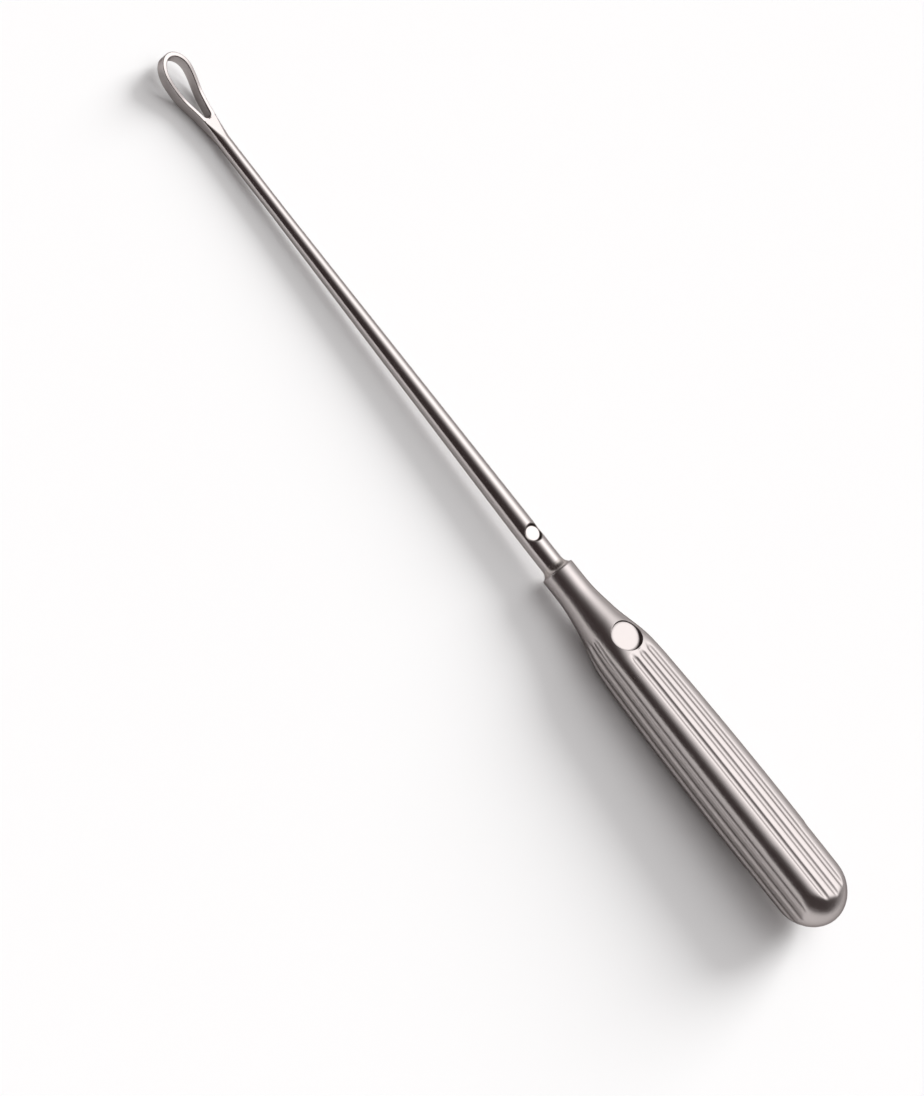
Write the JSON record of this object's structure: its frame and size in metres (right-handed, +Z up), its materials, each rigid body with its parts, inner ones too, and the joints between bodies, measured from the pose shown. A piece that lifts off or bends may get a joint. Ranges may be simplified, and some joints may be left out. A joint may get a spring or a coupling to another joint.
{
  "type": "uterine curette",
  "caption": "Uterine curette: a teardrop scraping loop on a long tapered round shank, brazed into a hollow fluted handle with a round thumb spot.",
  "frame": {"origin": "middle of the bounding box's base, on the surface that the tool lies on", "axes": "+X from the loop towards the butt of the handle, +Z up from the surface, on the side that the thumb spot faces"},
  "size_m": [0.28, 0.0168, 0.0187],
  "materials": {
    "satin_steel": "satin stainless steel",
    "silver_filler": "satin silver brazing filler"
  },
  "bodies": {
    "root": {"shank_with_loop": "satin_steel", "hollow_handle": "satin_steel", "braze_filler": "silver_filler"}
  },
  "joints": []
}
